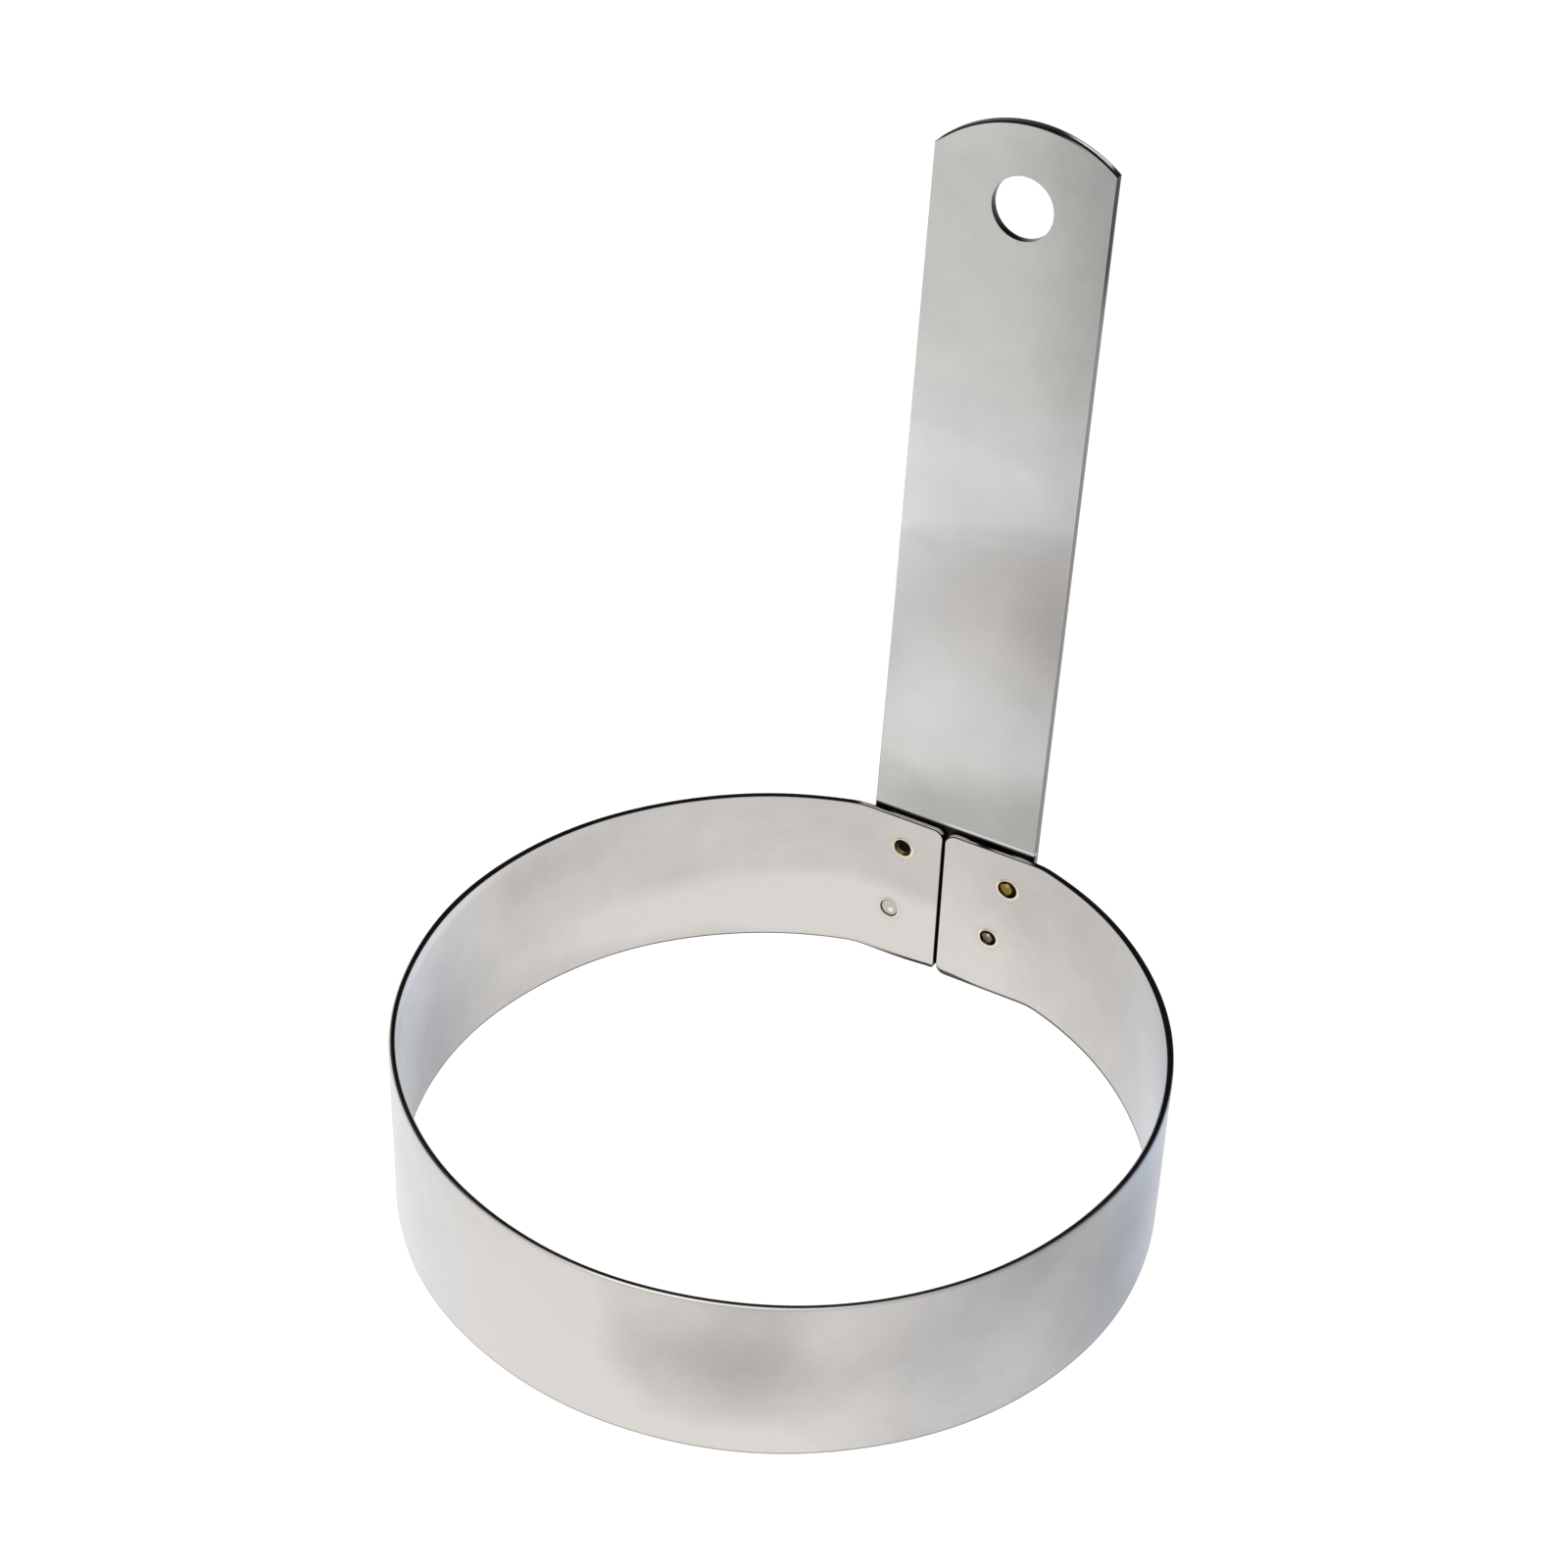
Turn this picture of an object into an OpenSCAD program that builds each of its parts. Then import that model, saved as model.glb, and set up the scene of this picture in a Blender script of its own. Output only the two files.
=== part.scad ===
// Egg ring: a steel strip rolled into a ring, butted at the back, with an upright strap handle
// spot welded over the joint. Lengths are millimetres. The ring stands on z = 0 with its centre
// at the origin, and the handle is at +Y.

/* [Ring] */
// Inside diameter of the round part of the ring
ring_bore = 101.6; // [76.2:25.4:152.4]
// Height of the strip that the ring is rolled from
ring_h = 25.4; // [22:0.2:36]
// Thickness of the ring's strip
ring_t = 0.95; // [0.6:0.05:1.5]
// Flat left on the band at each side of the handle
flat_spare = 0.2; // [0:0.1:1.5]
// Outside radius of the bends where the flat runs into the round
flat_bend_r = 10; // [6:0.5:18]

/* [Joint in the ring] */
// Gap between the two ends of the strip
joint_gap = 0.35; // [0.2:0.05:0.8]
// Distance of the gap from the handle's centre line, towards -X
joint_shift = 1.0; // [-2:0.1:2]
// Radius of the left end's corner at the rim
left_rim_corner_r = 1.4; // [0.4:0.1:3]
// Radius of the right end's corner at the rim
right_rim_corner_r = 1.7; // [0.4:0.1:3]
// Radius of the left end's corner at the base
left_base_corner_r = 0.6; // [0.3:0.1:3]
// Radius of the right end's corner at the base
right_base_corner_r = 1.5; // [0.3:0.1:3]

/* [Handle] */
// Width of the strap
strap_w = 25.4; // [22:0.2:32]
// Thickness of the strap
strap_t = 1.4; // [1:0.1:2.5]
// Clearance between the strap's lower end and the surface that the ring stands on
foot_clear = 0.6; // [0.2:0.1:2]
// Depth below the rim at which the strap starts to bend outward
bend_drop = 2.2; // [0.5:0.1:3]
// Radius on the inside of the bend
bend_r = 6; // [1:0.5:12]
// Angle by which the strap leans outward, in degrees
lean = 3; // [1:0.5:14]
// Straight length from the bend to the top of the arch
blade_l = 109.9; // [65:0.1:140]
// Radius of the arched top
crown_r = 19.3; // [18.5:0.1:60]
// Distance of the arch's centre from the strap's centre line, towards +X
crown_shift = 1.0; // [-2:0.1:2]

/* [Hanging hole] */
// Diameter of the hanging hole
hang_d = 8.73; // [5:0.01:12]
// Distance from the top of the arch to the centre of the hole
hang_drop = 11.5; // [9:0.1:20]
// Distance of the hole from the strap's centre line, towards +X
hang_shift = 0.4; // [-2:0.1:2]

/* [Spot welds] */
// Diameter of each weld through the two sheets
weld_d = 3.2; // [2:0.1:4]
// Width of the raised edge that the electrode squeezes out round its print
lip_w = 0.4; // [0.1:0.02:0.6]
// Height of that raised edge over the band
lip_h = 0.09; // [0.03:0.01:0.2]
// Width of the sloping wall of the print
print_slope = 0.18; // [0.05:0.01:0.4]
// Depth of the print in the upper left weld
upper_left_print = 0.55; // [0.05:0.05:0.7]
// Depth of the print in the lower left weld
lower_left_print = 0.08; // [0.02:0.02:0.7]
// Depth of the print in the upper right weld
upper_right_print = 0.45; // [0.05:0.05:0.7]
// Depth of the print in the lower right weld
lower_right_print = 0.4; // [0.05:0.05:0.7]
// Depth of the fainter print on the back of the strap
back_print = 0.12; // [0.02:0.01:0.3]

/* [Hidden] */
$fn = 96;
// Overrun that carries every cut clear of the surface that it leaves
over = 1;

// Round part of the band, outside
ring_r = ring_bore / 2 + ring_t;
// Half of the flat, the distance of its bends' centres towards +Y, and the angle of each bend
flat_half = strap_w / 2 + flat_spare;
flat_bend_y = sqrt(pow(ring_r - flat_bend_r, 2) - pow(flat_half, 2));
flat_turn = atan2(flat_half, flat_bend_y);
// Outer face of the flat, which the strap lies against
seat_y = flat_bend_y + flat_bend_r;
// Back of the strap, and the sheets' total thickness at a weld
strap_back_y = seat_y + strap_t;
stack_t = ring_t + strap_t;

// Amount by which a bend's round is larger than one that just touches its two sides, so that
// it crosses them cleanly
round_bite = 0.0003;

// The bend's centre, and along the blade from there the arch's centre and its lower corner
bend_y = strap_back_y + bend_r;
bend_z = ring_h - bend_drop;
crown_z = blade_l - crown_r;
crown_low = crown_z + sqrt(pow(crown_r, 2) - pow(strap_w / 2 + abs(crown_shift), 2));

// Places of the welds: across the strap, as shares of its width, and up the band, as shares
// of its height. The four were set by hand on the real thing, so they aren't a true square.
upper_left_shares = [-0.291, 0.800];
lower_left_shares = [-0.353, 0.339];
upper_right_shares = [0.374, 0.774];
lower_right_shares = [0.281, 0.387];

// What is cut off a sharp corner to round it, drawn from the centre of the round. The round of
// radius r starts straight up from there and goes on clockwise by the angle turn.
module round_off(r, turn) {
    past = r + over;
    difference() {
        polygon([
            [0, 0],
            [0, past],
            [past * tan(turn / 2), past],
            [past * sin(turn), past * cos(turn)]
        ]);
        circle(r = r + round_bite);
    }
}

// Upright block with the outline of a rolled ring with one flat, for the round radius r and the
// radius b of the bends at the two ends of the flat
module rolled_block(r, b, h) {
    linear_extrude(height = h) difference() {
        circle(r = r, $fn = 360);
        translate([-r, flat_bend_y + b]) square([2 * r, r]);
        for (side = [0, 1]) {
            mirror([side, 0]) translate([flat_half, flat_bend_y]) round_off(b, flat_turn);
        }
    }
}

// What is cut off one end corner of the strip. The gap is at -x, and the strip's edge at y = 0.
module corner_cut(r) {
    difference() {
        translate([-joint_gap / 2, -over]) square([r + joint_gap / 2, r + over]);
        translate([r, r]) circle(r = r);
    }
}

// All that is cut away between the two ends of the strip, centred on the gap
module joint_cut() {
    translate([-joint_gap / 2, -over]) square([joint_gap, ring_h + 2 * over]);
    translate([joint_gap / 2, 0]) corner_cut(right_base_corner_r);
    translate([joint_gap / 2, ring_h]) mirror([0, 1]) corner_cut(right_rim_corner_r);
    mirror([1, 0]) {
        translate([joint_gap / 2, 0]) corner_cut(left_base_corner_r);
        translate([joint_gap / 2, ring_h]) mirror([0, 1]) corner_cut(left_rim_corner_r);
    }
}

// Stands a flat drawing upright, so that it faces along Y, and gives it depth from y to y + depth
module upright(y, depth) {
    translate([0, y + depth, 0]) rotate([90, 0, 0]) linear_extrude(height = depth) children();
}

// Puts a thing that points along +Z at a weld's place, pointing out through both sheets
module at_weld(shares) {
    place = [shares[0] * strap_w, seat_y - ring_t, shares[1] * ring_h];
    translate(place) rotate([-90, 0, 0]) children();
}

module weld_holes() {
    for (shares = [upper_left_shares, lower_left_shares, upper_right_shares, lower_right_shares]) {
        at_weld(shares) translate([0, 0, -over]) cylinder(d = weld_d, h = stack_t + 2 * over);
    }
}

module ring_band() {
    color("silver") difference() {
        rolled_block(ring_r, flat_bend_r, ring_h);
        translate([0, 0, -over]) rolled_block(ring_r - ring_t, flat_bend_r - ring_t, ring_h + 2 * over);
        translate([-joint_shift, 0, 0]) upright(seat_y - ring_t - over, ring_t + 2 * over) joint_cut();
        weld_holes();
    }
}

// Points of the strap's side view from the centre of its bend, with x outward and y up: the fold
// of a face that stands at x, and a place on the blade, x outward and y along it
function fold(x) = [x, -x * tan(lean / 2)];
function leaned(x, y) = [x * cos(lean) + y * sin(lean), y * cos(lean) - x * sin(lean)];

// Side view of all that lies outward of one face of the strap, for the face's radius r at the
// bend. It ends at the distance back from the bend's centre, and is longer than the strap by extra.
module behind_face(r, back, extra) {
    low = foot_clear - bend_z - extra;
    high = blade_l + over + extra;
    difference() {
        polygon([
            [-r, low],
            fold(-r),
            leaned(-r, high),
            leaned(back, high),
            fold(back),
            [back, low]
        ]);
        rotate(90) round_off(r, lean);
    }
}

// Side view of the bent strap
module strap_side() {
    translate([bend_y, bend_z]) difference() {
        behind_face(bend_r + strap_t, 0, 0);
        behind_face(bend_r, over, over);
    }
}

// Moves a drawing made flat on the blade, with x across and y up from the bend, to the blade
module on_blade() {
    translate([0, bend_y, bend_z]) rotate([-lean, 0, 0]) {
        upright(-bend_r - strap_t - over, strap_t + 2 * over) children();
    }
}

// All that is cut off above the arched top
module crown_cut() {
    difference() {
        translate([-strap_w / 2 - over, crown_low - over]) {
            square([strap_w + 2 * over, blade_l - crown_low + 3 * over]);
        }
        translate([crown_shift, crown_z]) circle(r = crown_r, $fn = 360);
    }
}

module handle() {
    color("lightgray") difference() {
        rotate([90, 0, 90]) translate([0, 0, -strap_w / 2]) linear_extrude(height = strap_w) strap_side();
        on_blade() crown_cut();
        on_blade() translate([hang_shift, blade_l - hang_drop]) circle(d = hang_d);
        weld_holes();
    }
}

// One weld, turned about its own axis: the fused core, the electrode's print with its raised
// edge on the band's inner face, and a fainter print on the back of the strap
module weld(shares, print_depth) {
    core_r = weld_d / 2;
    crest_r = core_r - lip_w / 2;
    color("darkkhaki") at_weld(shares) rotate_extrude() polygon([
        [0, print_depth],
        [crest_r - print_slope, print_depth],
        [crest_r, -lip_h],
        [core_r + lip_w / 2, 0],
        [core_r, 0],
        [core_r, stack_t],
        [crest_r, stack_t],
        [crest_r - back_print, stack_t - back_print],
        [0, stack_t - back_print]
    ]);
}

ring_band();
handle();
weld(upper_left_shares, upper_left_print);  // weld_upper_left
weld(lower_left_shares, lower_left_print);  // weld_lower_left
weld(upper_right_shares, upper_right_print);  // weld_upper_right
weld(lower_right_shares, lower_right_print);  // weld_lower_right
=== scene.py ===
"""Egg ring: looks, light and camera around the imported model. Lengths in the sections are
millimetres and become metres where a mesh is made. +Z is up and the handle is at +Y."""

import bpy
import numpy as np
from mathutils import Matrix


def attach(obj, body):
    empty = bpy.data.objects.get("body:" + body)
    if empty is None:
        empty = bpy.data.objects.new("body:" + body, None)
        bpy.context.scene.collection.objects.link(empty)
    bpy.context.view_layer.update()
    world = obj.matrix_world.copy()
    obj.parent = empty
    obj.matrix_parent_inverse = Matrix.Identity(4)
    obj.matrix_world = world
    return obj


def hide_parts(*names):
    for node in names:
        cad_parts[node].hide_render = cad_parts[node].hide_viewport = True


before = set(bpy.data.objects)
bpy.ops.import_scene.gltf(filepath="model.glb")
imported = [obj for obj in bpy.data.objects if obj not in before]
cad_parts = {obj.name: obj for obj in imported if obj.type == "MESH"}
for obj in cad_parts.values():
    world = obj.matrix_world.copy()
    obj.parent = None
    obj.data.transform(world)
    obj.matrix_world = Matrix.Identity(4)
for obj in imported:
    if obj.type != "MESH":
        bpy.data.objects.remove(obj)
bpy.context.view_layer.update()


# Rolled strip
# The ring is one strip of satin stainless steel, 25.4 mm high and just under 1 mm thick, rolled round and
# pressed flat where the handle sits. Its two ends are butted there, with a narrow gap between them and
# rounded corners. The sheared edges are dark, with painted shade over them, and softer on the outside.

MM = 0.001
STRIP_HEIGHT = 25.4
STRIP_THICKNESS = 0.95
OUTER_RADIUS = 51.75
FLAT_HALF = 12.9
FLAT_BEND = 10
FIRST_END_X, LAST_END_X = -0.825, -1.175

# Radii of the sheet's middle on the round and on the flat's bends, and the flat's outer face
ROUND_RADIUS = OUTER_RADIUS - STRIP_THICKNESS / 2
FLAT_BEND_RADIUS = FLAT_BEND - STRIP_THICKNESS / 2
FLAT_BEND_Y = np.sqrt((OUTER_RADIUS - FLAT_BEND) ** 2 - FLAT_HALF ** 2)
FLAT_TURN = np.arctan2(FLAT_HALF, FLAT_BEND_Y)
SEAT_Y = FLAT_BEND_Y + FLAT_BEND

# How far along the strip each flat, bend and round begins
strip_knots = np.cumsum([
    0,
    FLAT_HALF - FIRST_END_X,
    FLAT_BEND_RADIUS * FLAT_TURN,
    ROUND_RADIUS * 2 * (np.pi - FLAT_TURN),
    FLAT_BEND_RADIUS * FLAT_TURN,
    FLAT_HALF + LAST_END_X,
])
STRIP_LENGTH = float(strip_knots[-1])


def arc(centre, radius, start, end, steps):
    """Points on a circle from the angle start to end, in degrees anticlockwise from +a."""
    angle = np.radians(np.linspace(start, end, steps + 1))
    return np.column_stack([centre[0] + radius * np.cos(angle), centre[1] + radius * np.sin(angle)])


def graded(length, step, near=0.2):
    """Distances from 0 to length: close together at both ends, and about step apart between."""
    close = np.cumsum(near * 2.0 ** np.arange(int(np.log2(step / near)) + 1))
    middle = np.linspace(close[-1], length - close[-1], int(length / step) + 1)
    return np.concatenate([[0], close[:-1], middle, length - close[-2::-1], [length]])


def straight(start, end, step):
    """Points on the line from start to end, graded towards both."""
    length = np.hypot(*np.subtract(end, start))
    share = graded(length, step) / length
    return np.outer(1 - share, start) + np.outer(share, end)


def chain(*lines):
    """Lines laid end to end as one, without their doubled ends."""
    return np.vstack([line[:-1] for line in lines[:-1]] + [lines[-1]])


def coons(base, right, top, left):
    """Points between four sides, and how far each lies from the nearest side. Each point is the
    blend of the opposite sides along both directions, less the blend of the four corners."""
    def lengths(line):
        return np.concatenate([[0], np.cumsum(np.linalg.norm(np.diff(line, axis=0), axis=1))])

    def share(one, other):
        return (lengths(one) / lengths(one)[-1] + lengths(other) / lengths(other)[-1]) / 2

    u, v = share(base, top)[:, None, None], share(left, right)[None, :, None]
    points = (1 - v) * base[:, None] + v * top[:, None] + (1 - u) * left[None] + u * right[None]
    points -= (1 - v) * ((1 - u) * base[0] + u * base[-1]) + v * ((1 - u) * top[0] + u * top[-1])
    u, v = u[:, :, 0], v[:, :, 0]
    from_ends = np.minimum(u, 1 - u) * np.linalg.norm(right - left, axis=1)[None, :]
    from_base_or_top = np.minimum(v, 1 - v) * np.linalg.norm(top - base, axis=1)[:, None]
    return points.reshape(-1, 2), np.minimum(from_ends, from_base_or_top).ravel()


def sheet_metal(name, sides, thickness, front_edge, back_edge, place, round_steps=6):
    """A sheet with rounded edges. The four sides of its flat outline (base, right, top, left, each
    drawn left to right or upwards) are moved inwards by the edge's radius, and carry a Coons patch
    on the front and one on the back. A quarter round, a plain edge and a quarter round join them
    along the outline. front_edge and back_edge give the radius for the place a, b on the outline,
    and place turns flat (a, b) and the height t above the sheet's middle into x, y, z. Marks on the
    points are from_edge in mm, edge, from 0 on a face to 1 on the plain edge, and side, from 1 on
    the front to -1 on the back."""
    base, right, top, left = sides
    wide, high = len(base), len(left)
    loop = np.vstack([base[:-1], right[:-1], top[:0:-1], left[:0:-1]])
    ahead = np.roll(loop, -1, 0) - loop
    ahead /= np.linalg.norm(ahead, axis=1)[:, None]
    before = np.roll(ahead, 1, 0)
    outward = np.column_stack([ahead[:, 1] + before[:, 1], -ahead[:, 0] - before[:, 0]])
    outward /= (1 + (ahead * before).sum(1))[:, None]
    corner = np.cumsum([0, wide - 1, high - 1, wide - 1, high - 1])

    def patch(radius):
        """The Coons patch inside the outline moved inwards by the radius."""
        inner = np.vstack([loop - radius[:, None] * outward] * 2)
        line = [inner[start:end + 1] for start, end in zip(corner[:-1], corner[1:])]
        return coons(line[0], line[1], line[2][::-1], line[3][::-1])

    half = thickness / 2
    front_radius, back_radius = front_edge(*loop.T), back_edge(*loop.T)
    front_points, front_depth = patch(front_radius)
    back_points, back_depth = patch(back_radius)

    # The edge's two rounds, ring by ring: how far each ring lies inside the outline, its height,
    # and how far it is from the front's border along the metal
    down = np.linspace(0, np.pi / 2, round_steps + 1)[1:, None]
    under = down[::-1]
    plain = thickness - front_radius - back_radius
    inset = np.vstack([front_radius * (1 - np.sin(down)), back_radius * (1 - np.sin(under))])
    height = np.vstack([half - front_radius * (1 - np.cos(down)),
                        back_radius * (1 - np.cos(under)) - half])
    travel = np.vstack([front_radius * down,
                        plain + front_radius * np.pi / 2 + back_radius * (np.pi / 2 - under)])
    turned_share = np.concatenate([down, under]) / (np.pi / 2) + np.zeros_like(inset)
    rounds = loop[None] - inset[..., None] * outward[None]
    unrolled = (loop - front_radius[:, None] * outward)[None] + travel[..., None] * outward[None]

    flat = np.vstack([front_points, back_points, rounds.reshape(-1, 2)])
    unwrapped = np.vstack([front_points, back_points, unrolled.reshape(-1, 2)])
    heights = np.concatenate([
        np.full(len(front_points), half), np.full(len(back_points), -half), height.ravel()])
    marks = {
        "from_edge": np.concatenate([front_depth, back_depth, np.zeros(height.size)]),
        "edge": np.concatenate([np.zeros(2 * len(front_points)), turned_share.ravel()]),
        "side": heights / half,
    }

    number = np.arange(wide * high).reshape(wide, high)
    front = np.stack([number[:-1, :-1], number[1:, :-1], number[1:, 1:], number[:-1, 1:]], -1)
    front = front.reshape(-1, 4)
    border = np.concatenate([number[:-1, 0], number[-1, :-1], number[:0:-1, -1], number[0, :0:-1]])
    rings = 2 * wide * high + np.arange(height.size).reshape(height.shape)
    rings = np.vstack([border, rings, border + wide * high])
    along = np.roll(rings, -1, 1)
    edges = np.stack([rings[:-1], rings[1:], along[1:], along[:-1]], -1).reshape(-1, 4)
    faces = np.vstack([front, front[:, ::-1] + wide * high, edges])
    points = place(flat[:, 0], flat[:, 1], heights)
    return mesh_piece(name, points, faces.tolist(), marks, unwrapped[faces.ravel()])


def mesh_piece(name, points, faces, marks, flat=None):
    """A smooth object from points in millimetres, faces, named numbers at the points, and for
    every corner of the faces its flat place in millimetres, which the finish follows."""
    mesh = bpy.data.meshes.new(name)
    mesh.from_pydata((points * MM).tolist(), [], faces)
    if flat is not None:
        mesh.uv_layers.new(name="flat").data.foreach_set("uv", flat.astype(np.float32).ravel())
    for mark, values in marks.items():
        numbers = mesh.attributes.new(mark, "FLOAT", "POINT")
        numbers.data.foreach_set("value", values.astype(np.float32))
    mesh.polygons.foreach_set("use_smooth", np.ones(len(faces), bool))
    piece = bpy.data.objects.new(name, mesh)
    bpy.context.scene.collection.objects.link(piece)
    return piece


def turned(name, radii, depths, centre, axis, steps=96, lift=None):
    """A solid of revolution: the profile (radius, depth along the axis) is turned about the axis
    through the centre, and its two ends close at the poles. lift(angle, radius, depth) is added to
    the depth of each point. Marks on the points are reach, the radius, depth, and edge, 1 all over."""
    axis = np.array(axis, float)
    side = np.cross([0, 0, 1.0], axis)
    side /= np.linalg.norm(side)
    up = np.cross(axis, side)
    angle = np.linspace(0, 2 * np.pi, steps, endpoint=False)
    r, d = radii[1:-1, None] + np.zeros(steps), depths[1:-1, None] + np.zeros(steps)
    if lift is not None:
        d = d + lift(angle, r, d)
    ring = (np.array(centre) + (r * np.cos(angle))[..., None] * side
            + (r * np.sin(angle))[..., None] * up + d[..., None] * axis)
    poles = np.array(centre) + np.outer(depths[[0, -1]], axis)
    number = np.arange(r.size).reshape(r.shape)
    after = np.roll(number, -1, 1)
    quads = np.stack([number[:-1], after[:-1], after[1:], number[1:]], -1).reshape(-1, 4)
    first = np.column_stack([np.full(steps, r.size), after[0], number[0]])
    last = np.column_stack([np.full(steps, r.size + 1), number[-1], after[-1]])
    marks = {
        "reach": np.append(r.ravel(), [0, 0]),
        "depth": np.append(d.ravel(), [0, 0]),
        "edge": np.ones(r.size + 2),
    }
    faces = quads.tolist() + first.tolist() + last.tolist()
    return mesh_piece(name, np.vstack([ring.reshape(-1, 3), poles]), faces, marks)


def drill(piece, drills):
    """Cuts the drills out of the piece for good and keeps sharp only what turns by over 30 degrees."""
    for tool in drills:
        cut = piece.modifiers.new(tool.name, "BOOLEAN")
        cut.operation, cut.solver, cut.object = "DIFFERENCE", "EXACT", tool
    bpy.context.view_layer.update()
    done = bpy.data.meshes.new_from_object(piece.evaluated_get(bpy.context.evaluated_depsgraph_get()))
    piece.modifiers.clear()
    piece.data = done
    done.materials.clear()
    done.set_sharp_from_angle(angle=np.radians(30))
    for tool in drills:
        bpy.data.objects.remove(tool)


# Two faint ripples in the round: height, the length of a radian, slant and start
RIPPLES = (0.035, 7.1, 0.13, 0), (0.03, 4.3, -0.21, 1)
RIPPLE_FADE = 12


def rolled(s, z, t):
    """Place on the rolled strip for the distance s along it from its first end, the height z and
    the height t towards the ring's middle. The direction turns evenly along each bend and the
    round, the point lies at that bend's radius from its centre, and on a flat the centre slides.
    The ripples are added to the radius and fade out towards the flat."""
    angle = np.interp(s, strip_knots, [0, 0, FLAT_TURN, 2 * np.pi - FLAT_TURN, 2 * np.pi, 2 * np.pi])
    on_round = (s > strip_knots[2]) & (s < strip_knots[3])
    near_end = np.where(s < STRIP_LENGTH / 2, np.minimum(FIRST_END_X + s, FLAT_HALF),
                        np.maximum(LAST_END_X + s - STRIP_LENGTH, -FLAT_HALF))
    free = np.clip((np.minimum(s, STRIP_LENGTH - s) - strip_knots[1]) / RIPPLE_FADE, 0, 1)
    free = free * free * (3 - 2 * free)
    ripple = sum(high * np.sin(s / length + slant * z + start) for high, length, slant, start in RIPPLES)
    radius = np.where(on_round, ROUND_RADIUS, FLAT_BEND_RADIUS) - t + free * ripple
    x = np.where(on_round, 0, near_end) + radius * np.sin(angle)
    y = np.where(on_round, 0, FLAT_BEND_Y) + radius * np.cos(angle)
    return np.column_stack([x, y, z])


def near_rim(z):
    """0 up to 3 mm below the rim, and 1 from 1.2 mm below it."""
    return np.interp(z, [STRIP_HEIGHT - 3, STRIP_HEIGHT - 1.2], [0, 1])


def inner_edge(s, z):
    """Radius of the strip's edges on the inside of the ring. It grows a little up the ends, and
    the rim's own radius, which takes over near the rim, is larger at the front than at the back."""
    end = np.interp(z, [0.8, 2.5], [0.16, 0.22])
    rim = np.interp(s, [55, 80, 200, 225], [0.15, 0.26, 0.26, 0.15])
    return end + (rim - end) * near_rim(z)


def outer_edge(s, z):
    """The same on the outside, where the shears have drawn the front of the rim over."""
    base = 0.16
    rim = np.interp(s, [55, 80, 210, 245], [base, 0.5, 0.5, 0.2])
    return base + (rim - base) * near_rim(z)


# Radii of the strip's four end corners, and how finely a corner and an edge are drawn
first_base, last_base, last_rim, first_rim = 1.5, 0.6, 1.4, 1.7
CORNER_STEPS, STRIP_STEP = 6, 1.1

# The shears drew the last end's base up a little over its last few millimetres
DRAW_UP, DRAWN_RUN = 0.45, 8
drawn_from = STRIP_LENGTH - 9
drawn_base = straight((first_base, 0), (STRIP_LENGTH - last_base, 0), STRIP_STEP)
drawn_base[:, 1] = DRAW_UP * np.clip((drawn_base[:, 0] - drawn_from) / DRAWN_RUN, 0, 1) ** 2
drawn_end = straight((STRIP_LENGTH, last_base), (STRIP_LENGTH, STRIP_HEIGHT - last_rim), STRIP_STEP)
drawn_end[:, 1] += DRAW_UP * np.interp(drawn_end[:, 1], [last_base, STRIP_HEIGHT - last_rim], [1, 0])

first_base_at, first_rim_at = (first_base, first_base), (first_rim, STRIP_HEIGHT - first_rim)
last_base_at = (STRIP_LENGTH - last_base, last_base + DRAW_UP)
last_rim_at = (STRIP_LENGTH - last_rim, STRIP_HEIGHT - last_rim)
strip_sides = [
    chain(arc(first_base_at, first_base, 225, 270, CORNER_STEPS),
          drawn_base,
          arc(last_base_at, last_base, 270, 315, CORNER_STEPS)),
    chain(arc(last_base_at, last_base, 315, 360, CORNER_STEPS),
          drawn_end,
          arc(last_rim_at, last_rim, 0, 45, CORNER_STEPS)),
    chain(arc(first_rim_at, first_rim, 135, 90, CORNER_STEPS),
          straight((first_rim, STRIP_HEIGHT), (STRIP_LENGTH - last_rim, STRIP_HEIGHT), STRIP_STEP),
          arc(last_rim_at, last_rim, 90, 45, CORNER_STEPS)),
    chain(arc(first_base_at, first_base, 225, 180, CORNER_STEPS),
          straight((0, first_base), (0, STRIP_HEIGHT - first_rim), STRIP_STEP),
          arc(first_rim_at, first_rim, 180, 135, CORNER_STEPS)),
]
strip = sheet_metal("rolled_strip", strip_sides, STRIP_THICKNESS, inner_edge, outer_edge, rolled)

# The four spot welds' places, as shares of the strap's width and of the strip's height
STRAP_WIDTH = 25.4
WELD_RADIUS = 1.6
DRILL_OVER = 0.5
weld_shares = {
    "upper_left": (-0.291, 0.800),
    "lower_left": (-0.353, 0.339),
    "upper_right": (0.374, 0.774),
    "lower_right": (0.281, 0.387),
}
weld_places = {
    name: (across * STRAP_WIDTH, up * STRIP_HEIGHT) for name, (across, up) in weld_shares.items()}


def weld_drills(low, high):
    """One round cutter for each weld, from low to high along +Y and a little past both."""
    length = high - low + 2 * DRILL_OVER
    radii, depths = np.array([0, WELD_RADIUS, WELD_RADIUS, 0]), np.array([0, 0, length, length])
    return [turned("weld_drill", radii, depths, (x, low - DRILL_OVER, z), (0, 1, 0), 64)
            for x, z in weld_places.values()]


drill(strip, weld_drills(SEAT_Y - STRIP_THICKNESS, SEAT_Y))


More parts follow.
